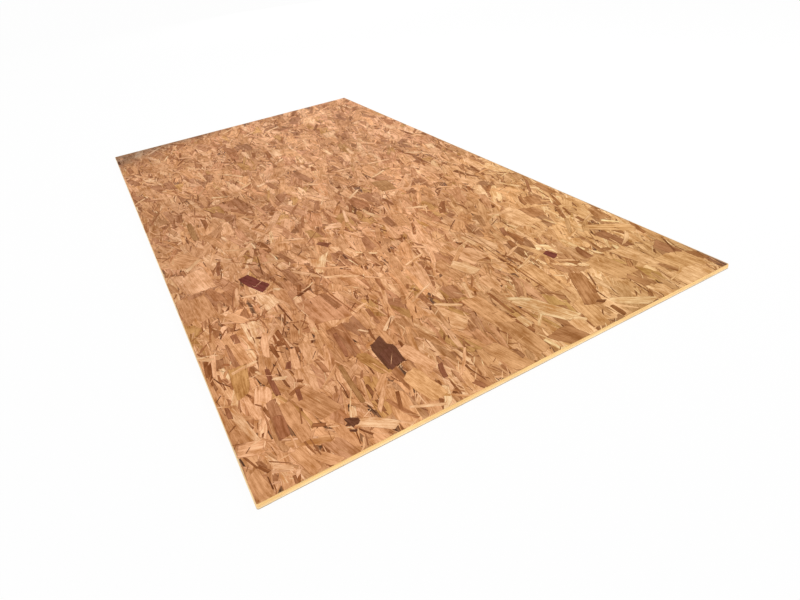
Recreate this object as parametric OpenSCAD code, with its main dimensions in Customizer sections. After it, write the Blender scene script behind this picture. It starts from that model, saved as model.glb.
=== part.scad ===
// Oriented strand board sheathing: one full sheet, lying flat.
// The face strands run along X, the length. The origin is the centre of the underside.

/* [Sheet] */
// Length of the sheet, along the face strands
sheet_length = 2438; // [600:1:3660]
// Width of the sheet
sheet_width = 1219; // [300:1:1830]
// Thickness of the pressed board
sheet_thickness = 11.9; // [6:0.1:32]

/* [Edges] */
// Radius that handling has worn on the four corners, seen from above
corner_radius = 5; // [2:0.5:40]
// Width of the arris rubbed off along every long and short edge
arris_width = 0.6; // [0.2:0.1:1.5]

/* [Hidden] */
board_colour = [0.80, 0.58, 0.38];
// Centres of the corner arcs
corner_x = sheet_length / 2 - corner_radius;
corner_y = sheet_width / 2 - corner_radius;

// Section of the edge, from x = inner out to x = rim, with both arrises rubbed off
module edge_section(inner, rim) {
    polygon([
        [inner, 0],
        [rim - arris_width, 0],
        [rim, arris_width],
        [rim, sheet_thickness - arris_width],
        [rim - arris_width, sheet_thickness],
        [inner, sheet_thickness]
    ]);
}

// A run of board between two opposite edges that are span apart
module run_of_board(span, run) {
    rotate([90, 0, 0])
        linear_extrude(run, center = true) {
            edge_section(0, span / 2);
            mirror([1, 0]) edge_section(0, span / 2);
        }
}

// A worn corner, turned from the same edge section
module worn_corner() {
    rotate_extrude($fn = 96) edge_section(0, corner_radius);
}

module strand_board() {
    color(board_colour) {
        run_of_board(sheet_length, 2 * corner_y);
        rotate([0, 0, 90]) run_of_board(sheet_width, 2 * corner_x);
        for (side_x = [-1, 1], side_y = [-1, 1])
            translate([side_x * corner_x, side_y * corner_y, 0]) worn_corner();
    }
}

strand_board();
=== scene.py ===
# Oriented strand board sheathing: one sheet lying flat, with its strands laid one by one.
# Lengths are in metres, in the sheet's own frame: X along the sheet, Y across it and Z up.
import math
from collections import namedtuple

import bpy
import numpy as np
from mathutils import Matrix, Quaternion, Vector


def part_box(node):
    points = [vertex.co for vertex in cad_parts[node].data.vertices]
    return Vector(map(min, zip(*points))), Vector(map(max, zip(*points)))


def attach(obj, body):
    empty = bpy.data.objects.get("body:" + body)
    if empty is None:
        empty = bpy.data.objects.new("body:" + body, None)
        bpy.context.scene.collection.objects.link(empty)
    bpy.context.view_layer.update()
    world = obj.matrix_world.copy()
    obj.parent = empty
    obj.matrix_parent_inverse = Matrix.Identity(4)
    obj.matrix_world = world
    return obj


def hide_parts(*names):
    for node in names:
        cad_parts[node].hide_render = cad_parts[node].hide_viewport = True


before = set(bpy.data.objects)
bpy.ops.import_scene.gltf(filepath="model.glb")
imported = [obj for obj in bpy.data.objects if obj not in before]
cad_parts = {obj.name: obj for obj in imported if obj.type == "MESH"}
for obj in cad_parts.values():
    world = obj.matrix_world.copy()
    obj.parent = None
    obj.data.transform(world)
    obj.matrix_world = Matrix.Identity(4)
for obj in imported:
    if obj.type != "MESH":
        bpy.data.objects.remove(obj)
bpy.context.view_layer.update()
sheet_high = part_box("strand_board")[1]

MM = 0.001

# The sheet as it was pressed and sawn
HALF_LENGTH = sheet_high.x
HALF_WIDTH = sheet_high.y
THICKNESS = sheet_high.z
CORNER_RADIUS = 5 * MM
# From a face down to its deepest strands, and on down to the mat that they are pressed onto
FACE_RELIEF = 1.0 * MM
MAT_DROP = 0.2 * MM
# How far the edges' sealer laps onto the faces, and how deep it lies there
EDGE_LAP = 1.8 * MM
LAP_DEPTH = 0.35 * MM
# Side by side strips that each face is laid in
UPPER_STRIPS = 4
UNDERSIDE_STRIPS = 2
# What the random draws for each face and for the edges start from
UPPER_SEED = 11
UNDERSIDE_SEED = 12
EDGE_SEED = 31

# Wood tones from 0 to 255, as they look in daylight
TONES = {
    "ivory": (240, 190, 144),
    "cream": (241, 184, 137),
    "straw": (231, 173, 126),
    "wheat": (225, 169, 115),
    "honey": (216, 158, 109),
    "tan": (202, 145, 98),
    "rose": (204, 145, 102),
    "olive": (196, 143, 86),
    "moss": (174, 125, 77),
    "mauve": (173, 118, 79),
    "cinnamon": (177, 119, 77),
    "russet": (163, 105, 69),
    "umber": (156, 98, 57),
    "plum": (146, 89, 60),
    "cocoa": (118, 73, 53),
    "bark": (128, 75, 40),
    "oxblood": (119, 58, 46),
    "walnut": (110, 68, 45),
}

# How often each tone turns up in a kind of strand
FLAKE_TONES = {
    "cream": 6, "straw": 23, "honey": 27, "tan": 17, "rose": 9, "olive": 3, "mauve": 9, "cinnamon": 6,
}
STRAND_TONES = {
    "cream": 12, "straw": 19, "honey": 20, "tan": 15, "rose": 7, "olive": 3, "cinnamon": 15, "umber": 9,
}
SHRED_TONES = {"cream": 20, "straw": 20, "honey": 10, "tan": 10, "cinnamon": 18, "umber": 16, "bark": 6}
SPLINT_TONES = {"cream": 45, "straw": 35, "honey": 20}
CHIP_TONES = {"cream": 20, "straw": 22, "honey": 14, "rose": 6, "cinnamon": 18, "umber": 14, "bark": 6}
SLIVER_TONES = {"cream": 65, "straw": 35}
# Gaps are dark strips of painted shade between the strands
SHADED_GAP_TONES = {"umber": 50, "bark": 42, "walnut": 8}

# The kinds of strand: how many the upper face has, their least and greatest length and width,
# how far they lean to either side and stray in degrees, how much their ends narrow,
# the facets along and across each, and how often they have each tone
StrandKind = namedtuple("StrandKind", "count length width lean stray point rows columns tones")
STRAND_KINDS = {
    "flake": StrandKind(2700, (80 * MM, 170 * MM), (22 * MM, 72 * MM), 0, 11, 0.1, 6, 5, FLAKE_TONES),
    "strand": StrandKind(2000, (50 * MM, 140 * MM), (9 * MM, 24 * MM), 0, 14, 0.2, 5, 2, STRAND_TONES),
    "shred": StrandKind(5200, (18 * MM, 95 * MM), (2 * MM, 8 * MM), 0, 15, 0.4, 4, 2, SHRED_TONES),
    "splint": StrandKind(220, (40 * MM, 110 * MM), (6 * MM, 20 * MM), 50, 12, 0.2, 5, 2, SPLINT_TONES),
    "chip": StrandKind(2300, (9 * MM, 32 * MM), (3 * MM, 11 * MM), 0, 36, 0.3, 3, 2, CHIP_TONES),
    "sliver": StrandKind(2100, (9 * MM, 50 * MM), (0.9 * MM, 2.4 * MM), 0, 38, 0.7, 4, 1, SLIVER_TONES),
    # Gaps are painted shade between the strands
    "gap": StrandKind(1250, (7 * MM, 34 * MM), (1.4 * MM, 6 * MM), 0, 24, 0.7, 3, 2, SHADED_GAP_TONES),
}
KIND_NAMES = list(STRAND_KINDS)
# The underside has this share of them
UNDERSIDE_SHARE = 0.4
# Broad flakes mostly go down before the rest, and small bits mostly after it
LAID_EARLY = {"flake": 0.1, "splint": -0.35, "chip": -0.2, "sliver": -0.5, "gap": -0.4}
# Those that stand out were cut cleaner, and only the last small bits lie over them
SHOWN_ROUGHNESS = 0.55
SHOWN_TURN = 1.25
# The forming line's mean turn in degrees, at the sheet's middle and from there to its right side
LINE_TURN = -5
LINE_DRIFT = -8

# Strands of the upper face that stand out: the middle, length and width in millimetres,
# the turn from the sheet's length in degrees, and the tone
ShownStrand = namedtuple("ShownStrand", "kind x y length width turn tone")
SHOWN_STRANDS = [
    # Broad flakes
    ShownStrand("flake", 719, -285, 135, 92, 5, "rose"),
    ShownStrand("flake", 695, -257, 95, 20, 8, "mauve"),
    ShownStrand("flake", 337, -530, 135, 75, 5, "straw"),
    ShownStrand("flake", 753, -520, 165, 32, 7, "honey"),
    ShownStrand("flake", 873, 13, 64, 36, 0, "mauve"),
    ShownStrand("flake", 1045, -190, 110, 36, 13, "straw"),
    ShownStrand("flake", 1129, -222, 115, 44, 10, "wheat"),
    ShownStrand("flake", 1000, 32, 150, 50, 3, "honey"),
    ShownStrand("flake", 1130, 38, 140, 46, 0, "tan"),
    ShownStrand("flake", 1192, 120, 70, 58, 20, "cinnamon"),
    ShownStrand("flake", 1165, -32, 115, 44, 12, "honey"),
    ShownStrand("flake", 965, 222, 150, 44, -3, "honey"),
    ShownStrand("flake", 1155, 212, 115, 42, -12, "honey"),
    ShownStrand("flake", 1076, 142, 160, 45, 22, "cream"),
    ShownStrand("flake", 790, 100, 88, 38, 18, "cream"),
    ShownStrand("flake", 642, 392, 140, 72, 0, "straw"),
    ShownStrand("flake", 1036, 388, 128, 66, 6, "tan"),
    ShownStrand("flake", 1071, 272, 145, 42, -24, "cinnamon"),
    ShownStrand("flake", 1050, 476, 130, 46, 5, "straw"),
    ShownStrand("flake", 1130, 538, 92, 80, 5, "honey"),
    ShownStrand("flake", 1192, 518, 62, 84, 4, "straw"),
    ShownStrand("flake", 1190, 484, 75, 42, 0, "straw"),
    ShownStrand("flake", 1190, -590, 90, 30, 9, "honey"),
    ShownStrand("flake", 1175, -500, 80, 28, 14, "honey"),
    ShownStrand("flake", 1195, -464, 60, 24, 34, "honey"),
    ShownStrand("flake", 650, 448, 75, 50, 0, "cinnamon"),
    ShownStrand("flake", 937, 501, 117, 32, 5, "russet"),
    ShownStrand("flake", 1060, 563, 70, 36, 0, "russet"),
    ShownStrand("flake", 101, 199, 110, 58, -4, "moss"),
    ShownStrand("flake", -226, -2, 150, 32, 6, "mauve"),
    ShownStrand("flake", -85, -354, 100, 34, 28, "mauve"),
    ShownStrand("flake", 880, -297, 135, 42, -3, "cinnamon"),
    ShownStrand("flake", 1035, -432, 115, 52, 20, "tan"),
    ShownStrand("flake", 1062, -483, 125, 32, 3, "tan"),
    ShownStrand("flake", 868, -543, 110, 38, -8, "olive"),
    ShownStrand("flake", 583, -392, 80, 44, 5, "cream"),
    ShownStrand("flake", 610, -485, 70, 30, 25, "honey"),
    ShownStrand("flake", 495, -548, 135, 52, 3, "tan"),
    ShownStrand("flake", 480, -588, 140, 34, 2, "tan"),
    ShownStrand("flake", 447, -506, 88, 22, 8, "cinnamon"),
    ShownStrand("flake", 582, 500, 70, 44, -15, "cinnamon"),
    ShownStrand("flake", 790, 580, 80, 34, -10, "cinnamon"),
    ShownStrand("flake", 535, 588, 105, 26, -5, "cinnamon"),
    # Dark flakes and what lies round them
    ShownStrand("flake", 462, -395, 116, 38, 19, "oxblood"),
    ShownStrand("flake", 1000, -278, 100, 26, 12, "olive"),
    ShownStrand("chip", 1056, -218, 30, 24, 0, "tan"),
    ShownStrand("flake", 981, -236, 112, 49, -1, "walnut"),
    ShownStrand("chip", 1006, -237, 68, 46, -1, "cocoa"),
    ShownStrand("chip", 933, -211, 62, 26, -2, "honey"),
    ShownStrand("sliver", 1038, -269, 80, 4, 13, "straw"),
    # Strands near the left side
    ShownStrand("strand", 772, -457, 105, 18, -13, "straw"),
    ShownStrand("strand", 869, -416, 86, 18, -11, "straw"),
    ShownStrand("strand", 919, -355, 104, 14, -17, "straw"),
    ShownStrand("strand", 973, -546, 85, 16, 3, "straw"),
    ShownStrand("strand", 1010, -574, 122, 18, 12, "cream"),
    ShownStrand("strand", 1030, -345, 140, 12, -3, "moss"),
    ShownStrand("strand", 1032, -510, 118, 26, -4, "mauve"),
    ShownStrand("strand", 1060, -511, 68, 24, -4, "russet"),
    ShownStrand("strand", 917, -485, 105, 12, -3, "plum"),
    ShownStrand("strand", 811, -446, 63, 10, 0, "umber"),
    ShownStrand("strand", 758, -536, 98, 10, 0, "mauve"),
    ShownStrand("strand", 956, -591, 41, 10, 0, "russet"),
    ShownStrand("strand", 934, -375, 59, 12, 5, "cinnamon"),
    ShownStrand("strand", 896, -322, 118, 12, -3, "tan"),
    ShownStrand("strand", 890, -308, 100, 11, -6, "russet"),
    ShownStrand("strand", 905, -298, 95, 10, 0, "mauve"),
    ShownStrand("strand", 1140, -286, 57, 9, -19, "umber"),
    ShownStrand("strand", 1116, -168, 50, 13, -16, "plum"),
    ShownStrand("strand", 520, -298, 140, 24, 3, "mauve"),
    ShownStrand("strand", 590, -305, 62, 12, -20, "umber"),
    ShownStrand("strand", 675, -363, 105, 11, 2, "straw"),
    # Strands near the right side, and further off
    ShownStrand("strand", 938, 387, 64, 22, -8, "russet"),
    ShownStrand("strand", 1128, 394, 62, 22, 11, "cinnamon"),
    ShownStrand("strand", 1135, 493, 58, 16, 13, "cinnamon"),
    ShownStrand("strand", 1188, 266, 46, 14, -3, "umber"),
    ShownStrand("strand", 385, 76, 80, 25, -5, "mauve"),
    ShownStrand("strand", 695, 303, 55, 16, -20, "russet"),
    ShownStrand("strand", 990, 76, 110, 8, -2, "umber"),
    ShownStrand("strand", 480, 563, 105, 10, -30, "russet"),
    ShownStrand("strand", 480, 388, 120, 24, -22, "rose"),
    ShownStrand("strand", 718, 525, 60, 9, -18, "umber"),
    ShownStrand("strand", 386, -274, 96, 15, 12, "mauve"),
    ShownStrand("strand", 302, -460, 89, 12, -12, "russet"),
    ShownStrand("strand", 173, -145, 100, 12, -19, "cinnamon"),
    ShownStrand("strand", -29, -472, 160, 19, -2, "moss"),
    # Chips
    ShownStrand("chip", 886, 317, 40, 30, 10, "oxblood"),
    # Painted shade: a dark chip as the shadow beside the sliver at (942, 330)
    ShownStrand("chip", 957, 334, 34, 18, 20, "umber"),
    ShownStrand("chip", 1097, 280, 16, 10, -20, "umber"),
    ShownStrand("chip", 1171, -7, 36, 14, 0, "mauve"),
    ShownStrand("chip", 1198, -130, 28, 16, 20, "russet"),
    ShownStrand("chip", 937, -3, 14, 14, 0, "mauve"),
    ShownStrand("chip", 1087, 74, 42, 26, 0, "cream"),
    ShownStrand("chip", 967, 107, 22, 9, 45, "cream"),
    ShownStrand("chip", 945, -197, 16, 10, -30, "tan"),
    ShownStrand("chip", 770, 276, 40, 22, -10, "umber"),
    ShownStrand("chip", 607, -298, 44, 14, -62, "bark"),
    ShownStrand("chip", 381, -152, 46, 26, 29, "plum"),
    ShownStrand("chip", 95, -276, 34, 15, -44, "umber"),
    ShownStrand("chip", 885, -436, 28, 15, -20, "plum"),
    ShownStrand("chip", 700, -511, 42, 20, 0, "russet"),
    ShownStrand("chip", 790, -426, 24, 18, 0, "umber"),
    ShownStrand("chip", 540, -353, 22, 12, 40, "ivory"),
    ShownStrand("chip", 733, -461, 14, 10, 50, "bark"),
    # Painted shade: a dark chip as the shadow at the left of the tan flake at (1035, -432)
    ShownStrand("chip", 977, -452, 32, 15, -65, "umber"),
    ShownStrand("chip", 994, -449, 38, 13, -8, "plum"),
    ShownStrand("chip", 952, -433, 14, 12, 50, "umber"),
    ShownStrand("chip", 1104, -447, 28, 14, 60, "umber"),
    ShownStrand("chip", 1146, -573, 30, 10, 28, "umber"),
    ShownStrand("chip", 1205, -531, 20, 8, -5, "cinnamon"),
    ShownStrand("chip", 1137, 262, 22, 14, 50, "bark"),
    ShownStrand("chip", 1160, -397, 14, 8, 53, "walnut"),
    ShownStrand("chip", -1095, -602, 60, 14, 0, "bark"),
    # Gaps: dark strips of painted shade between the strands
    ShownStrand("gap", 502, -131, 35, 12, 0, "walnut"),
    ShownStrand("gap", 820, 201, 370, 4, -2, "umber"),
    ShownStrand("gap", 830, 215, 330, 4, -3, "cinnamon"),
    ShownStrand("gap", 1160, -117, 80, 6, 8, "bark"),
    ShownStrand("gap", 725, -238, 140, 6, 8, "umber"),
    ShownStrand("gap", 670, -373, 100, 8, 3, "bark"),
    ShownStrand("gap", 622, -585, 48, 7, -55, "umber"),
    ShownStrand("gap", 1054, 582, 78, 10, -24, "bark"),
    ShownStrand("gap", 372, -351, 124, 6, -9, "bark"),
    ShownStrand("gap", -251, -561, 115, 9, -24, "umber"),
    ShownStrand("gap", 897, -598, 22, 5, -40, "walnut"),
    ShownStrand("gap", 1057, -468, 49, 5, -14, "umber"),
    ShownStrand("gap", 1060, -588, 43, 5, 65, "umber"),
    ShownStrand("gap", 1117, -588, 44, 8, 18, "umber"),
    ShownStrand("gap", 1185, -572, 34, 5, 0, "bark"),
    ShownStrand("gap", 1150, -541, 48, 5, 49, "umber"),
    ShownStrand("gap", 1154, -473, 52, 5, 3, "umber"),
    ShownStrand("gap", 1178, -378, 34, 9, 29, "bark"),
    ShownStrand("gap", 1174, -173, 56, 7, -4, "umber"),
    # Splints and slivers, most of them across the rest
    ShownStrand("splint", 1171, -349, 84, 28, 47, "cream"),
    ShownStrand("splint", 1181, 318, 96, 30, 48, "cream"),
    ShownStrand("splint", 881, 543, 130, 40, 47, "honey"),
    ShownStrand("splint", 601, -183, 105, 12, 53, "cream"),
    ShownStrand("splint", 534, -188, 95, 10, 53, "honey"),
    ShownStrand("splint", 1189, -246, 72, 9, 60, "cream"),
    ShownStrand("splint", 913, -28, 72, 12, 47, "cream"),
    ShownStrand("splint", 1005, 117, 58, 15, 45, "ivory"),
    ShownStrand("splint", 1082, -580, 56, 38, 70, "straw"),
    ShownStrand("splint", 1165, -540, 42, 12, 48, "cream"),
    ShownStrand("splint", 915, -467, 32, 12, 60, "ivory"),
    ShownStrand("splint", 1158, 177, 32, 12, 38, "cream"),
    ShownStrand("splint", 628, 490, 52, 9, 50, "straw"),
    ShownStrand("sliver", 1185, 288, 66, 8, 33, "straw"),
    ShownStrand("sliver", 942, 330, 58, 7, 46, "straw"),
    ShownStrand("sliver", 951, 492, 45, 4, -6, "straw"),
    ShownStrand("sliver", 930, -595, 28, 5, 55, "cream"),
    ShownStrand("sliver", 1142, -530, 22, 5, -83, "cream"),
    ShownStrand("sliver", 1190, -534, 22, 4, 59, "cream"),
    ShownStrand("sliver", 1126, -424, 20, 6, 61, "cream"),
    # A dark knot at the end of the near splint
    ShownStrand("chip", 1137, -388, 24, 27, 63, "walnut"),
    ShownStrand("chip", 1136, -392, 28, 14, 15, "walnut"),
]

Strand = np.dtype([
    ("kind", int), ("x", float), ("y", float), ("length", float), ("width", float),
    ("turn", float), ("tone", float, 3), ("level", float), ("rough", float),
])


# Colours
def linear(tone):
    """A tone from 0 to 255 as the linear colour that light works with."""
    share = np.asarray(tone, float) / 255
    return np.where(share <= 0.04045, share / 12.92, ((share + 0.055) / 1.055) ** 2.4)


def between(first, second, share):
    """Colours from the first, where share is 0, to the second, where it is 1."""
    share = np.asarray(share)[..., None]
    return first * (1 - share) + second * share


# Drawing strands

# The odds of a width between the least and the greatest, as the two powers of a beta curve
WIDTH_ODDS = (1.4, 2.6)
# The share of strands that lie astray, and how many times further those stray
ASTRAY_SHARE = 0.12
ASTRAY_TIMES = 2.5
# How far strands of one tone differ, in lightness and in each of red, green and blue
LIGHTNESS_SCATTER = 0.072
HUE_SCATTER = 0.006


def draw_strands(name, count, rng):
    """Strands of one kind, scattered over a face."""
    kind = STRAND_KINDS[name]
    strands = np.zeros(count, Strand)
    strands["kind"] = KIND_NAMES.index(name)
    strands["rough"] = 1
    strands["x"] = rng.uniform(-HALF_LENGTH, HALF_LENGTH, count)
    strands["y"] = rng.uniform(-HALF_WIDTH, HALF_WIDTH, count)
    strands["length"] = rng.triangular(kind.length[0], np.mean(kind.length), kind.length[1], count)
    strands["width"] = kind.width[0] + np.ptp(kind.width) * rng.beta(*WIDTH_ODDS, count)
    astray = rng.uniform(size=count) < ASTRAY_SHARE
    turn = rng.normal(0, np.where(astray, ASTRAY_TIMES, 1.0) * kind.stray)
    turn += kind.lean * rng.choice((-1, 1), count)
    strands["turn"] = np.radians(turn + LINE_TURN + LINE_DRIFT * strands["y"] / HALF_WIDTH)
    tones = np.array([linear(TONES[tone]) for tone in kind.tones])
    odds = np.array(list(kind.tones.values()), float)
    picked = tones[rng.choice(len(tones), count, p=odds / odds.sum())]
    lightness = rng.normal(1, LIGHTNESS_SCATTER, (count, 1))
    hue = rng.normal(1, HUE_SCATTER, (count, 3))
    strands["tone"] = picked * lightness * hue
    return strands


def shown_strands():
    """The strands that stand out on the upper face."""
    strands = np.zeros(len(SHOWN_STRANDS), Strand)
    for strand, shown in zip(strands, SHOWN_STRANDS):
        strand["kind"] = KIND_NAMES.index(shown.kind)
        strand["rough"] = SHOWN_ROUGHNESS
        strand["x"], strand["y"] = shown.x * MM, shown.y * MM
        strand["length"], strand["width"] = shown.length * MM, shown.width * MM
        strand["turn"] = math.radians(shown.turn)
        strand["tone"] = linear(TONES[shown.tone])
    return strands


# Laying strands on each other

# The side of the small squares in which strands are found to lie on each other
LAYING_CELL = 3 * MM
# Strands on one level are spread over this share of the step to the next
LEVEL_SPREAD = 0.9
# Painted shade: the deepest strands, down among the others, have this share of the highest ones' lightness
DEEPEST_SHADED_LIGHTNESS = 0.88


def set_levels(strands):
    """Lays the strands in order, each one level above the highest strand under it,
    and says which of them still show in the end."""
    cells_along = int(2 * HALF_LENGTH / LAYING_CELL) + 1
    cells_across = int(2 * HALF_WIDTH / LAYING_CELL) + 1
    highest = np.zeros((cells_along, cells_across))
    on_top = np.full((cells_along, cells_across), -1)
    for number, strand in enumerate(strands):
        u = np.linspace(-0.5, 0.5, int(strand["length"] / LAYING_CELL) + 2) * strand["length"]
        v = np.linspace(-0.5, 0.5, int(strand["width"] / LAYING_CELL) + 2) * strand["width"]
        u, v = np.meshgrid(u, v)
        cos, sin = math.cos(strand["turn"]), math.sin(strand["turn"])
        x = strand["x"] + u * cos - v * sin
        y = strand["y"] + u * sin + v * cos
        i = ((x + HALF_LENGTH) / LAYING_CELL).astype(int).clip(0, cells_along - 1)
        j = ((y + HALF_WIDTH) / LAYING_CELL).astype(int).clip(0, cells_across - 1)
        strand["level"] = highest[i, j].max() + 1
        highest[i, j] = strand["level"]
        on_top[i, j] = number
    # Those on one level still lie a hair apart, in the order that they went down
    strands["level"] += np.linspace(0, LEVEL_SPREAD, len(strands))
    return np.isin(np.arange(len(strands)), on_top)


def inside_outline(x, y):
    """Points brought in to the line where the sealer laps over the face."""
    x = x.clip(EDGE_LAP - HALF_LENGTH, HALF_LENGTH - EDGE_LAP)
    y = y.clip(EDGE_LAP - HALF_WIDTH, HALF_WIDTH - EDGE_LAP)
    past_x = np.abs(x) - (HALF_LENGTH - CORNER_RADIUS)
    past_y = np.abs(y) - (HALF_WIDTH - CORNER_RADIUS)
    reach = np.hypot(past_x, past_y)
    radius = CORNER_RADIUS - EDGE_LAP
    lost = (past_x > 0) & (past_y > 0) & (reach > radius)
    pull = np.where(lost, 1 - radius / np.maximum(reach, MM), 0)
    return x - np.sign(x) * past_x * pull, y - np.sign(y) * past_y * pull


# Shaping strands

# The row of facets at each end, as a share of a strand's length
END_ROW = 0.07
# How far ends slant and splinter, as shares of the width, and the most of the length that they may lose
END_SLANT = 0.3
END_SPLINTERS = 0.14
SPLINTER_LIMIT = 4 * MM
BREAK_LIMIT = 0.2
# How far sides taper, waver and bow, and the least share of its width that a strand keeps
SIDE_TAPER = 0.36
SIDE_WAVER = 0.05
SIDE_BOW = 0.12
LEAST_WIDTH = 0.05
# About the mean height of a bow, taken off so that a bowed strand stays in its place
BOW_MEAN = 0.08
# How far a strand's skirt falls from its rim, and flares
SKIRT_DEPTH = 0.45 * MM
SKIRT_FLARE = 0.25 * MM
# A strand one facet wide has no rim of its own
NO_RIM = 10 * MM
# How far apart in the log two strands may have been
LOG_REACH = 20.0


def strand_facets(rows, columns):
    """The four-sided facets of one strand, its skirt first, and the points round its rim."""
    grid = np.arange((rows + 1) * (columns + 1)).reshape(rows + 1, columns + 1)
    face = np.stack([grid[:-1, :-1], grid[1:, :-1], grid[1:, 1:], grid[:-1, 1:]], -1).reshape(-1, 4)
    ring = np.concatenate([grid[0, :-1], grid[:-1, -1], grid[-1, :0:-1], grid[:0:-1, 0]])
    hem = grid.size + np.arange(len(ring))
    skirt = np.stack([ring, np.roll(ring, -1), np.roll(hem, -1), hem], -1)
    return np.concatenate([skirt, face]), ring


def shape_strands(strands, kind, rng):
    """Points of strands of one kind: where they are on the sheet, how far they hang below
    the strand's own level, where they are in its grain, and how far from its rim.
    The facets of one such strand come last."""
    count, rows, columns = len(strands), kind.rows, kind.columns
    length, width, rough = (strands[name][:, None, None] for name in ("length", "width", "rough"))
    t = np.concatenate([[0], np.linspace(END_ROW, 1 - END_ROW, rows - 1), [1]])[None, :, None]
    s = np.linspace(-1, 1, columns + 1)[None, None, :]
    # An end breaks off at a slant and in splinters, and the row behind it goes with it
    slant = rng.normal(0, END_SLANT, (count, 2, 1)) * s * width
    splinters = rng.normal(0, 1, (count, 2, columns + 1))
    splinters *= np.minimum(END_SPLINTERS * width, SPLINTER_LIMIT)
    broken = rough * np.clip(slant + splinters, -BREAK_LIMIT * length, BREAK_LIMIT * length)
    at_start, at_end = t <= END_ROW, t >= 1 - END_ROW
    u = (t - 0.5) * length + broken[:, :1] * at_start + broken[:, 1:] * at_end
    # Sides taper, waver and bow
    taper = 1 - kind.point * (2 * t - 1) ** 2
    taper = taper + rough * rng.normal(0, SIDE_TAPER, (count, 1, 1)) * (t - 0.5)
    waver = rng.normal(0, SIDE_WAVER, (count, rows + 1, columns + 1))
    bow = rough * rng.normal(0, SIDE_BOW, (count, 1, 1)) * length * ((t - 0.5) ** 2 - BOW_MEAN)
    v = s * width / 2 * np.maximum(taper + waver, LEAST_WIDTH) + bow
    rim = np.minimum((1 - np.abs(s)) * width / 2, np.minimum(t, 1 - t) * length)
    if columns == 1:
        rim = np.full_like(rim, NO_RIM)
    u, v, rim = (a.reshape(count, -1) for a in (u, v, rim))
    # The skirt falls from the rim, and flares a little
    facets, ring = strand_facets(rows, columns)
    out_u = np.sign(t - 0.5 + 0 * s).ravel()[ring] * SKIRT_FLARE
    out_v = np.sign(s + 0 * t).ravel()[ring] * SKIRT_FLARE
    hang = np.repeat([0, SKIRT_DEPTH], [u.shape[1], len(ring)])
    hang = np.broadcast_to(hang, (count, len(hang)))
    u = np.concatenate([u, u[:, ring] + out_u], 1)
    v = np.concatenate([v, v[:, ring] + out_v], 1)
    rim = np.concatenate([rim, rim[:, ring]], 1)
    cos, sin = np.cos(strands["turn"])[:, None], np.sin(strands["turn"])[:, None]
    x, y = inside_outline(
        strands["x"][:, None] + u * cos - v * sin,
        strands["y"][:, None] + u * sin + v * cos,
    )
    # Each strand was cut from another place in the log, and its growth bands are more or less marked
    u = u + rng.uniform(0, LOG_REACH, (count, 1))
    v = v + rng.uniform(0, LOG_REACH, (count, 1))
    mark = np.broadcast_to(rng.uniform(0, 1, (count, 1)), u.shape)
    return x, y, hang, np.stack([u, v, mark], -1), rim, facets


def lay_face(upper, share, seed):
    """The strands of one face, kind by kind, with the points and facets of each kind."""
    rng = np.random.default_rng(seed)
    counts = {name: int(kind.count * share) for name, kind in STRAND_KINDS.items()}
    strands = np.concatenate([draw_strands(name, count, rng) for name, count in counts.items()])
    early = np.array([LAID_EARLY.get(name, 0.0) for name in KIND_NAMES])
    turns = rng.uniform(size=len(strands)) - early[strands["kind"]]
    if upper:
        shown = shown_strands()
        strands = np.concatenate([strands, shown])
        turns = np.append(turns, np.full(len(shown), SHOWN_TURN))
    strands = strands[np.argsort(turns, kind="stable")]
    strands = strands[set_levels(strands)]
    height = strands["level"] / strands["level"].max()
    # Painted shade: the deeper a strand lies, the darker its tone
    strands["tone"] *= between(DEEPEST_SHADED_LIGHTNESS, 1.0, height)
    laid = []
    for number, kind in enumerate(STRAND_KINDS.values()):
        chosen = strands["kind"] == number
        x, y, hang, grain, rim, facets = shape_strands(strands[chosen], kind, rng)
        depth = FACE_RELIEF * (1 - height[chosen][:, None]) + hang
        depth = np.minimum(depth, FACE_RELIEF + MAT_DROP)
        z = THICKNESS - depth if upper else depth
        facets = facets if upper else facets[:, ::-1]
        laid.append((strands[chosen], np.stack([x, y, z], -1), grain, rim, facets))
    return laid


# Pieces

# The bare margin round each row of a strip's layout, as a share of the row
ROW_MARGIN = 0.002
# A facet no larger than this, in square metres, has no area left
NO_AREA = 5e-9


def make_piece(name, points, facets, values, finishes, uv_of_corners):
    """One piece of the sheet: facets, with the values at their points that a finish reads."""
    mesh = bpy.data.meshes.new(name)
    mesh.from_pydata(points, [], facets)
    for value_name, (kind, field, numbers) in values.items():
        layer = mesh.attributes.new(value_name, kind, "POINT")
        layer.data.foreach_set(field, np.ascontiguousarray(numbers, np.float32).ravel())
    layout = mesh.uv_layers.new(name="OFBake")
    layout.uv.foreach_set("vector", np.ascontiguousarray(uv_of_corners, np.float32).ravel())
    for finish in finishes:
        mesh.materials.append(finish)
    piece = bpy.data.objects.new(name, mesh)
    bpy.context.scene.collection.objects.link(piece)
    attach(piece, "root")
    return piece


def as_colour(tone):
    """Tones with the fourth number that a colour has."""
    return "FLOAT_COLOR", "color", np.c_[tone, np.ones(len(tone))]


def two_row_layout(points, far_half):
    """Lays a long strip out in two rows, its near half above its far half."""
    uv = np.zeros((len(points), 2))
    for row, half in enumerate((far_half, ~far_half)):
        spot = points[half, :2]
        low, span = spot.min(0), np.ptp(spot, axis=0)
        uv[half] = ROW_MARGIN + (1 - 2 * ROW_MARGIN) * (spot - low) / span
        uv[half, 1] = (uv[half, 1] + row) / 2
    return uv


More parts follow.
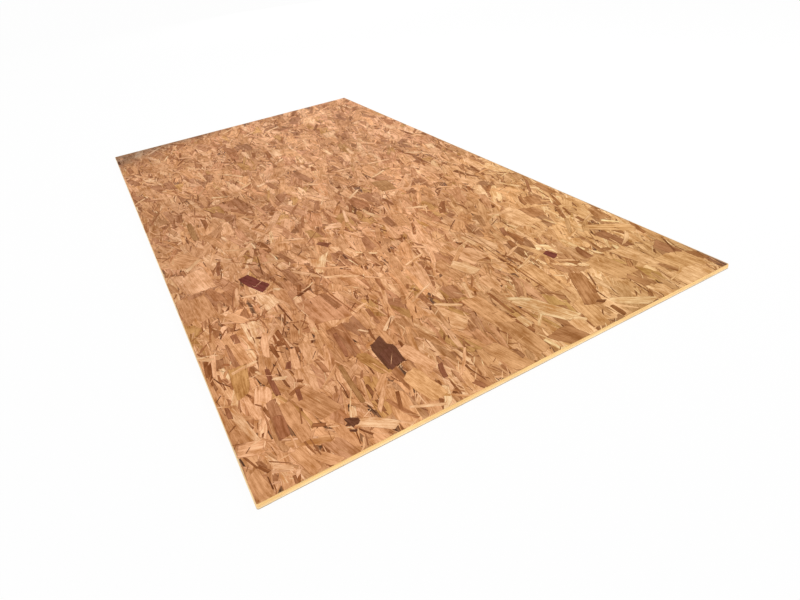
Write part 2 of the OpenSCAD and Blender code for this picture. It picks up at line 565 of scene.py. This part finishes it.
def face_strip(name, laid, low, high, finish):
    """The strands of a face whose middles lie between two lines along the sheet, as one piece."""
    points, grain, rim, tone, far_half, quads, levels = [], [], [], [], [], [], []
    first = 0
    for strands, kind_points, kind_grain, kind_rim, facets in laid:
        here = (strands["y"] >= low) & (strands["y"] < high)
        each = kind_points.shape[1]
        starts = first + each * np.arange(here.sum())
        points.append(kind_points[here].reshape(-1, 3))
        grain.append(kind_grain[here].reshape(-1, 3))
        rim.append(kind_rim[here].ravel())
        tone.append(np.repeat(strands["tone"][here], each, axis=0))
        far_half.append(np.repeat(strands["x"][here] < 0, each))
        quads.append((starts[:, None, None] + facets).reshape(-1, 4))
        levels.append(np.repeat(strands["level"][here], len(facets)))
        first += each * here.sum()
    points, quads = np.concatenate(points), np.concatenate(quads)
    # From the lowest strand to the highest, so that a flat picture of the strip shows its top
    quads = quads[np.argsort(np.concatenate(levels), kind="stable")]
    # What the saw took off has no area left
    a, b, c, d = points[quads].transpose(1, 0, 2)
    area = np.linalg.norm(np.cross(c - a, d - b), axis=1) / 2
    quads = quads[area > NO_AREA]
    used, quads = np.unique(quads, return_inverse=True)
    quads = quads.reshape(-1, 4)
    points = points[used]
    uv = two_row_layout(points, np.concatenate(far_half)[used])
    values = {
        "grain": ("FLOAT_VECTOR", "vector", np.concatenate(grain)[used]),
        "rim": ("FLOAT", "value", np.concatenate(rim)[used]),
        "tone": as_colour(np.concatenate(tone)[used]),
    }
    return make_piece(name, points, quads, values, [finish], uv[quads])


# Sawn edges

# Rows of facets up an edge, the length of each facet, and the points round a corner
EDGE_ROWS = 14
EDGE_STATION = 4 * MM
CORNER_STATIONS = 7
# The most that strand ends are cut back, and the odds of less, as the two powers of a beta curve
EDGE_CUT_BACK = 0.35 * MM
CUT_BACK_ODDS = (1.2, 2.4)
# The fewest facets that a strand end runs over and one past the most, and how far ends differ in shade
END_RUN = (3, 16)
END_SHADE_SCATTER = 0.05
# How far the rows stay off the faces, and waver up and down
EDGE_MARGIN = 0.3 * MM
EDGE_WAVER = 0.12 * MM
# How far in from the edge the lip under the faces reaches
LIP_WIDTH = 4 * MM
# Sealer on the ends, where it lies thicker, and on the sides and the lower half, where it is thin
THICK_SEALER = linear((244, 200, 130))
THIN_SEALER = linear((242, 215, 168))
SIDE_THINNESS = 0.6
# The shares of the thickness below which it is thin, and above which it is as thick as it gets
THIN_BELOW = 0.24
THICK_ABOVE = 0.64
# The edge's foot, darkened as painted contact shadow where the sheet meets the floor, and the rows over
# which it fades out
SHADED_EDGE_FOOT = linear((112, 94, 76))
FOOT_ROWS = 3
# The lap, darker along the far end, the right side and the far part of the left side
DARKER_LAP = linear((150, 116, 88))
LAP_DARKENING = 0.8
# The lip, in the mat's own tone
MAT_LIP = linear((120, 74, 44))
# Rows that the walk round the edge is laid out in, each row's bare margin,
# and the share of the layout that the rows take
EDGE_FOLDS = 12
FOLD_MARGIN = 0.02
FOLDS_SHARE = 0.8


def walk_outline():
    """Points round the sheet's outline, with the way out of the sheet at each."""
    core = np.array([HALF_LENGTH - CORNER_RADIUS, HALF_WIDTH - CORNER_RADIUS])
    points, ways = [], []
    for quarter, signs in enumerate(((1, 1), (-1, 1), (-1, -1), (1, -1))):
        centre = core * signs
        for turn in np.linspace(quarter, quarter + 1, CORNER_STATIONS) * math.pi / 2:
            way = np.array([math.cos(turn), math.sin(turn)])
            points.append(centre + CORNER_RADIUS * way)
            ways.append(way)
        corner_end, ahead = points[-1], np.array([-way[1], way[0]])
        run = 2 * core[quarter % 2]
        for step in np.linspace(0, run, int(run / EDGE_STATION) + 1)[1:-1]:
            points.append(corner_end + step * ahead)
            ways.append(way)
    return np.array(points), np.array(ways)


def strand_ends(count, rng):
    """How far each run of strand ends is cut back, and its shade, layer by layer."""
    cut_back, shade = np.zeros((2, EDGE_ROWS + 1, count))
    for row in range(EDGE_ROWS + 1):
        station = 0
        while station < count:
            run = int(rng.integers(*END_RUN))
            cut_back[row, station:station + run] = EDGE_CUT_BACK * rng.beta(*CUT_BACK_ODDS)
            shade[row, station:station + run] = rng.normal(1, END_SHADE_SCATTER)
            station += run
    return cut_back, shade


def fold_layout(walked, around, rings):
    """Lays the edge out in rows, one above the other, each a stretch of the walk round the sheet."""
    start = walked / around * EDGE_FOLDS
    end = np.append(start[1:], EDGE_FOLDS)
    fold = start.astype(int)
    u_start, u_end = start - fold, (end - fold).clip(0, 1)
    v = np.linspace(FOLD_MARGIN, 1 - FOLD_MARGIN, rings)
    uv = np.zeros((rings - 1, len(walked), 4, 2))
    for corner, (u, step) in enumerate(((u_start, 0), (u_end, 0), (u_end, 1), (u_start, 1))):
        uv[:, :, corner, 0] = u
        uv[:, :, corner, 1] = FOLDS_SHARE * (fold + v[step:rings - 1 + step, None]) / EDGE_FOLDS
    return uv.reshape(-1, 2)


def cap_layout(ring, column):
    """Lays a face of the mat out flat above the edge's rows."""
    flat = ring[:, :2] / (2 * np.array([HALF_LENGTH, HALF_WIDTH])) + 0.5
    return np.c_[(flat[:, 0] + column) / 2, FOLDS_SHARE + (1 - FOLDS_SHARE) * flat[:, 1]]


def sawn_core(edge_finish, mat_finish):
    """The board inside its faces: sawn edges with their strand ends, and the pressed mat between."""
    rng = np.random.default_rng(EDGE_SEED)
    outline, ways = walk_outline()
    count = len(outline)
    steps = np.linalg.norm(np.roll(outline, -1, axis=0) - outline, axis=1)
    walked = np.concatenate([[0], np.cumsum(steps)[:-1]])
    cut_back, shade = strand_ends(count, rng)
    heights = np.linspace(EDGE_MARGIN, THICKNESS - EDGE_MARGIN, EDGE_ROWS + 1)
    waver = EDGE_WAVER * rng.normal(size=(EDGE_ROWS + 1, count))
    waver[[0, -1]] = 0
    thick = np.clip((heights / THICKNESS - THIN_BELOW) / (THICK_ABOVE - THIN_BELOW), 0, 1)
    thin = 1 - (1 - SIDE_THINNESS * np.abs(ways[:, 1])) * thick[:, None]
    tones = between(THICK_SEALER, THIN_SEALER, thin) * shade[..., None]
    # Painted contact shadow on the lowest rows of the edge
    for row in range(FOOT_ROWS):
        tones[row] = between(SHADED_EDGE_FOOT, tones[row], np.full(count, row / FOOT_ROWS))
    mat_low, mat_high = FACE_RELIEF + MAT_DROP, THICKNESS - FACE_RELIEF - MAT_DROP
    inner = outline - LIP_WIDTH * ways
    lap = outline - EDGE_LAP * ways
    rings = [np.c_[inner, np.full(count, mat_low)], np.c_[lap, np.full(count, LAP_DEPTH)]]
    for row in range(EDGE_ROWS + 1):
        rings.append(np.c_[outline - cut_back[row][:, None] * ways, heights[row] + waver[row]])
    rings.append(np.c_[lap, np.full(count, THICKNESS - LAP_DEPTH)])
    rings.append(np.c_[inner, np.full(count, mat_high)])
    mat_tones = np.tile(MAT_LIP, (1, count, 1))
    # On the left side the darker lap sets in halfway from the middle to the far end
    far_part = np.clip(-1 - 2 * outline[:, 0] / HALF_LENGTH, 0, 1)
    darkened = np.clip(ways[:, 1] - ways[:, 0], far_part, 1)
    lap_tones = between(tones[-1:], DARKER_LAP, LAP_DARKENING * darkened)
    tones = np.concatenate([mat_tones, tones[1:2], tones, lap_tones, mat_tones])
    points = np.concatenate(rings)
    ids = np.arange(len(points)).reshape(len(rings), count)
    after = np.roll(ids, -1, axis=1)
    quads = np.stack([ids[:-1], after[:-1], after[1:], ids[1:]], -1).reshape(-1, 4)
    uv = np.concatenate([
        fold_layout(walked, steps.sum(), len(rings)),
        cap_layout(rings[-1], 0),
        cap_layout(rings[0][::-1], 1),
    ])
    grain = np.c_[np.tile(walked, len(rings)), points[:, 2], np.zeros(len(points))]
    values = {
        "grain": ("FLOAT_VECTOR", "vector", grain),
        "tone": as_colour(tones.reshape(-1, 3)),
    }
    facets = [*quads.tolist(), ids[-1].tolist(), ids[0][::-1].tolist()]
    piece = make_piece("sawn_core", points, facets, values, [edge_finish, mat_finish], uv)
    for cap in piece.data.polygons[-2:]:
        cap.material_index = 1
    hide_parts("strand_board")


# Finishes

# How strongly a bump shows, out of 1
BUMP_STRENGTH = 0.5


class Wire:
    """A shader value that takes part in arithmetic."""

    def __init__(self, finish, socket):
        self.finish = finish
        self.socket = socket

    def maths(self, operation, first, second):
        return self.finish.node("ShaderNodeMath", {"operation": operation}, {0: first, 1: second})

    def __add__(self, other):
        return self.maths("ADD", self, other)

    def __radd__(self, other):
        return self.maths("ADD", other, self)

    def __sub__(self, other):
        return self.maths("SUBTRACT", self, other)

    def __rsub__(self, other):
        return self.maths("SUBTRACT", other, self)

    def __mul__(self, other):
        return self.maths("MULTIPLY", self, other)

    def __rmul__(self, other):
        return self.maths("MULTIPLY", other, self)


class Finish:
    """The nodes of a material or of the world."""

    def __init__(self, owner):
        owner.use_nodes = True
        self.owner = owner
        self.tree = owner.node_tree

    def node(self, kind, settings=None, sockets=None, output=0):
        """Adds a node, with its settings first and then its sockets' values or links."""
        made = self.tree.nodes.new(kind)
        for name, value in (settings or {}).items():
            setattr(made, name, value)
        for key, value in (sockets or {}).items():
            self.feed(made.inputs[key], value)
        return Wire(self, made.outputs[output])

    def feed(self, socket, value):
        """Links a wire to a socket, or sets the socket's value."""
        if isinstance(value, Wire):
            self.tree.links.new(value.socket, socket)
        else:
            socket.default_value = value

    def surface(self, **sockets):
        """Feeds the sockets of the material's own shader."""
        for name, value in sockets.items():
            self.feed(self.tree.nodes["Principled BSDF"].inputs[name.replace("_", " ")], value)

    def attribute(self, name, output):
        return self.node("ShaderNodeAttribute", {"attribute_name": name}, output=output)

    def part(self, vector, axis):
        return self.node("ShaderNodeSeparateXYZ", {}, {0: vector}, output=axis)

    def stretched(self, vector, scale):
        return self.node("ShaderNodeVectorMath", {"operation": "MULTIPLY"}, {0: vector, 1: scale})

    def noise(self, vector, scale, detail=2.0, rough=0.5):
        spot = self.stretched(vector, scale)
        sockets = {"Vector": spot, "Scale": 1.0, "Detail": detail, "Roughness": rough}
        return self.node("ShaderNodeTexNoise", {}, sockets)

    def step(self, value, low, high):
        """0 below low, 1 above high and smooth between."""
        settings = {"interpolation_type": "SMOOTHSTEP"}
        return self.node("ShaderNodeMapRange", settings, {0: value, 1: low, 2: high})

    def mix(self, first, second, share, way="MIX"):
        settings = {"data_type": "RGBA", "blend_type": way, "clamp_result": True}
        return self.node("ShaderNodeMix", settings, {0: share, 6: first, 7: second}, output=2)

    def tinted(self, colour, tint):
        return self.mix(colour, (*tint, 1), 1.0, "MULTIPLY")

    def bump(self, height, distance):
        sockets = {"Strength": BUMP_STRENGTH, "Distance": distance, "Height": height}
        return self.node("ShaderNodeBump", {}, sockets)


def either(first, second):
    """How far one or the other of two masks covers a place."""
    return 1 - (1 - first) * (1 - second)


# Tints of the strands, as shares of their red, green and blue
DARK_GRAIN = (0.62, 0.465, 0.28)
LIGHT_GRAIN = (1.29, 1.325, 1.45)
DRAB_STRETCH = (0.86, 0.83, 0.79)
BRIGHT_STRETCH = (1.10, 1.11, 1.13)
# Dark rims, partly resin and dust and partly painted shade, and flecks of bark
RESIN_DUST_AND_SHADE = (0.52, 0.42, 0.36)
# Painted sheen that greys the far end, and painted light that yellows and brightens the near right corner
FAR_PAINTED_SHEEN = (0.97, 1.01, 1.065)
NEAR_PAINTED_LIGHT = (1.045, 1.22, 1.14)
SOIL = (0.43, 0.47, 0.53)
# How far soil is full and where it ends: out from the far left corner, in from the far end,
# and along that end from the left side
SOILED_CORNER = (90 * MM, 330 * MM)
SOILED_END = (10 * MM, 90 * MM)
SOILED_RUN = (250 * MM, 800 * MM)
# The width of a dark rim, partly resin and partly painted shade, and the depth of the grain
RIM_WIDTH = 1.4 * MM
STRAND_GRAIN_DEPTH = 0.35 * MM


def pressed_strands():
    """Flat wood strands under resin: grain along each, dark rims here and there, partly resin and partly
    painted shade, painted sheen and light across the sheet, and a satin face.
    """
    wood = Finish(bpy.data.materials.new("pressed_strands"))
    grain = wood.attribute("grain", "Vector")
    tone = wood.attribute("tone", "Color")
    rim = wood.attribute("rim", "Fac")
    mark = wood.part(grain, "Z")
    place = wood.node("ShaderNodeNewGeometry", output="Position")
    # Growth bands, streaks and fibres run along the grain
    bands = wood.noise(grain, (8, 130, 40))
    streaks = wood.noise(grain, (20, 420, 40), 3.0, 0.6)
    fibres = wood.noise(grain, (140, 1600, 40), 1.0)
    blotches = wood.noise(grain, (14, 40, 40))
    mottle = wood.noise(grain, (45, 170, 40), 3.0, 0.6)
    stains = wood.noise(place, (30, 45, 1), 3.0, 0.6)
    shade = 0.5 + (0.25 + 0.9 * mark) * (bands - 0.5) + 1.0 * (streaks - 0.5)
    shade = shade + 0.5 * (fibres - 0.5) + 0.9 * (blotches - 0.5)
    shade = shade + 0.7 * (mottle - 0.5) + 0.7 * (stains - 0.5)
    dark = wood.tinted(tone, DARK_GRAIN)
    light = wood.tinted(tone, LIGHT_GRAIN)
    colour = wood.mix(dark, light, wood.step(shade, 0.03, 0.97))
    # Drab and bright stretches over the whole sheet
    press = wood.noise(place, (2.2, 5, 1))
    drab = wood.tinted(colour, DRAB_STRETCH)
    bright = wood.tinted(colour, BRIGHT_STRETCH)
    colour = wood.mix(drab, bright, wood.step(press, 0.3, 0.7))
    # Resin and dust with painted shade in stretches of the rims, and flecks of bark
    rim_resin_and_shade = (1 - wood.step(rim, 0.0, RIM_WIDTH)) * wood.step(blotches, 0.42, 0.58)
    flecks = wood.step(wood.noise(place, (380, 520, 40), 1.0), 0.70, 0.76)
    dirt_and_shade = wood.tinted(colour, RESIN_DUST_AND_SHADE)
    colour = wood.mix(colour, dirt_and_shade, either(0.8 * rim_resin_and_shade, 0.8 * flecks))
    # Painted sheen: greyer wood towards the far end; painted light: yellower and brighter wood towards the
    # near right corner
    along = wood.part(place, "X")
    across = wood.part(place, "Y")
    far_sheen = wood.tinted(colour, FAR_PAINTED_SHEEN)
    colour = wood.mix(far_sheen, colour, wood.step(along + 0.6 * across, -0.1, 0.6))
    near_light = wood.tinted(colour, NEAR_PAINTED_LIGHT)
    colour = wood.mix(colour, near_light, wood.step(0.6 * along + across, 0.25, 1.15))
    # Soil in the far left corner, and thinner along the far end
    from_end = along + HALF_LENGTH
    from_left = across + HALF_WIDTH
    corner = 1 - wood.step(from_end + 0.7 * from_left, *SOILED_CORNER)
    strip = (1 - wood.step(from_end, *SOILED_END)) * (1 - wood.step(from_left, *SOILED_RUN))
    soil = wood.tinted(colour, SOIL)
    colour = wood.mix(colour, soil, wood.step(stains, 0.2, 0.5) * either(corner, 0.6 * strip))
    wood.surface(
        Base_Color=colour,
        Roughness=0.68 + 0.25 * (streaks - 0.5),
        Normal=wood.bump(streaks + 0.5 * fibres, STRAND_GRAIN_DEPTH),
        Specular_IOR_Level=0.05,
    )
    return wood.owner


# Tints of the sealer where it is dark and light, and the depth of the strand ends' layers
DARK_SEALER = (0.84, 0.77, 0.68)
LIGHT_SEALER = (1.04, 1.06, 1.10)
EDGE_LAYER_DEPTH = 0.3 * MM


def sealed_edge():
    """Sawn strand ends under a pale sealer."""
    edge = Finish(bpy.data.materials.new("sealed_edge"))
    grain = edge.attribute("grain", "Vector")
    tone = edge.attribute("tone", "Color")
    layers = edge.noise(grain, (30, 1500, 1), 3.0)
    patches = edge.noise(grain, (9, 90, 1))
    shade = edge.step(0.5 + 0.9 * (layers - 0.5) + 0.9 * (patches - 0.5), 0.1, 0.9)
    dark = edge.tinted(tone, DARK_SEALER)
    light = edge.tinted(tone, LIGHT_SEALER)
    edge.surface(
        Base_Color=edge.mix(dark, light, shade),
        Roughness=0.5 + 0.3 * (layers - 0.5),
        Normal=edge.bump(layers, EDGE_LAYER_DEPTH),
    )
    return edge.owner


# The mat's darkest and lightest streaks, as linear colours, and their depth
DARK_MAT = (0.07, 0.026, 0.010, 1)
LIGHT_MAT = (0.34, 0.145, 0.06, 1)
MAT_STREAK_DEPTH = 0.5 * MM


def pressed_mat():
    """The mat under the face strands, dark with resin and streaked along the sheet."""
    mat = Finish(bpy.data.materials.new("pressed_mat"))
    place = mat.node("ShaderNodeNewGeometry", output="Position")
    streaks = mat.noise(place, (14, 150, 1), 3.0)
    shade = mat.step(streaks, 0.3, 0.7)
    mat.surface(
        Base_Color=mat.mix(DARK_MAT, LIGHT_MAT, shade),
        Roughness=0.6 + 0.3 * (streaks - 0.5),
        Specular_IOR_Level=0.1,
        Normal=mat.bump(streaks, MAT_STREAK_DEPTH),
    )
    return mat.owner


# Stage

WHITE = (1, 1, 1, 1)
# How far the floor reaches each way and lies below the sheet, its paint, and how white the camera sees it
FLOOR_REACH = 40.0
FLOOR_DROP = 0.2 * MM
FLOOR_PAINT = (0.92, 0.92, 0.92, 1)
FLOOR_WHITENESS = 0.9
# The room's light on the sheet, as a share of its white background
ROOM_FILL = 0.55
# The lamps: a broad one behind the viewer, one high beyond the far right corner, one beyond
# the right side, and one low and further off beyond the far right corner for the sheet's sheen
Lamp = namedtuple("Lamp", "name kind place aim settings")
LAMPS = [
    Lamp("soft_lamp", "SUN", (4.0, -1.4, 3.6), (0, 0, 0), {"energy": 1.85, "angle": math.radians(40)}),
    Lamp("far_lamp", "AREA", (-1.8, 1.3, 1.8), (-0.9, 0.4, 0), {"energy": 8, "size": 1.2}),
    Lamp("side_lamp", "AREA", (0.4, 2.0, 1.8), (0.4, 0.5, 0), {"energy": 9, "size": 1.5}),
    Lamp("low_lamp", "AREA", (-6.0, 2.4, 1.2), (-1.0, 0.4, 0), {"energy": 32, "size": 2.4}),
]


def seen_rays(finish):
    """1 for rays that show the background, to the camera or in gloss and glass, and 0 for the rest."""
    seen = finish.node("ShaderNodeLightPath", output="Is Camera Ray")
    for ray in ("Is Glossy Ray", "Is Transmission Ray"):
        seen = seen + finish.node("ShaderNodeLightPath", output=ray)
    return seen


def add_floor():
    """A plain pale floor that keeps the sheet's shadow."""
    mesh = bpy.data.meshes.new("floor")
    signs = ((-1, -1), (1, -1), (1, 1), (-1, 1))
    corners = [(x * FLOOR_REACH, y * FLOOR_REACH, -FLOOR_DROP) for x, y in signs]
    mesh.from_pydata(corners, [], [(0, 1, 2, 3)])
    floor = bpy.data.objects.new("floor", mesh)
    bpy.context.scene.collection.objects.link(floor)
    paint = Finish(bpy.data.materials.new("floor_paint"))
    matt = paint.node("ShaderNodeBsdfDiffuse", {}, {"Color": FLOOR_PAINT})
    white = paint.node("ShaderNodeEmission", {}, {"Color": WHITE, "Strength": 1.0})
    both = paint.node("ShaderNodeMixShader", {}, {0: FLOOR_WHITENESS * seen_rays(paint), 1: matt, 2: white})
    paint.feed(paint.tree.nodes["Material Output"].inputs["Surface"], both)
    mesh.materials.append(paint.owner)


def add_lamp(lamp):
    """A lamp at its place, shining at a point."""
    light = bpy.data.lights.new(lamp.name, lamp.kind)
    for setting, value in lamp.settings.items():
        setattr(light, setting, value)
    holder = bpy.data.objects.new(lamp.name, light)
    holder.location = lamp.place
    holder.rotation_euler = (Vector(lamp.aim) - Vector(lamp.place)).to_track_quat("-Z", "Y").to_euler()
    bpy.context.scene.collection.objects.link(holder)


def add_light():
    """Even light from a white room, and the lamps."""
    room = bpy.data.worlds.new("white_room")
    bpy.context.scene.world = room
    air = Finish(room)
    background = air.tree.nodes["Background"].inputs
    background["Color"].default_value = WHITE
    air.feed(background["Strength"], ROOM_FILL + (1 - ROOM_FILL) * seen_rays(air))
    for lamp in LAMPS:
        add_lamp(lamp)


# Camera: beyond the sheet's near left corner, with its frame moved a little as the picture is cropped.
# Its roll is in degrees, and its lens and sensor are in millimetres
CAMERA_PLACE = Vector((2.011, -0.610, 0.849))
CAMERA_AIM = Vector((0.735, 0.018, 0.012))
CAMERA_ROLL = -7.88
CAMERA_LENS = 27.18
CAMERA_SENSOR = 36
CAMERA_SHIFT = (-0.035, -0.0375)
CAMERA_NEAREST = 0.05


def add_camera():
    """The camera, at the photograph's viewing angle."""
    camera = bpy.data.cameras.new("camera")
    camera.lens = CAMERA_LENS
    camera.sensor_width = CAMERA_SENSOR
    camera.shift_x, camera.shift_y = CAMERA_SHIFT
    camera.clip_start = CAMERA_NEAREST
    holder = bpy.data.objects.new("camera", camera)
    look = (CAMERA_AIM - CAMERA_PLACE).to_track_quat("-Z", "Y")
    roll = Quaternion((0, 0, 1), math.radians(CAMERA_ROLL))
    holder.location = CAMERA_PLACE
    holder.rotation_euler = (look @ roll).to_euler()
    bpy.context.scene.collection.objects.link(holder)
    bpy.context.scene.camera = holder


def add_face(name, laid, strips, finish):
    """A face of the sheet, in strips along it."""
    # The last line is a little past the right side, so that every strand lies between two lines
    lines = np.linspace(-HALF_WIDTH, HALF_WIDTH + MM, strips + 1)
    for number in range(strips):
        face_strip(f"{name}_{number + 1}", laid, lines[number], lines[number + 1], finish)


add_camera()
add_light()
add_floor()
strand_finish = pressed_strands()
sawn_core(sealed_edge(), pressed_mat())
upper = lay_face(True, 1.0, UPPER_SEED)
add_face("upper_strands", upper, UPPER_STRIPS, strand_finish)
underside = lay_face(False, UNDERSIDE_SHARE, UNDERSIDE_SEED)
add_face("underside_strands", underside, UNDERSIDE_STRIPS, strand_finish)

bpy.context.scene.view_settings.view_transform = "Standard"
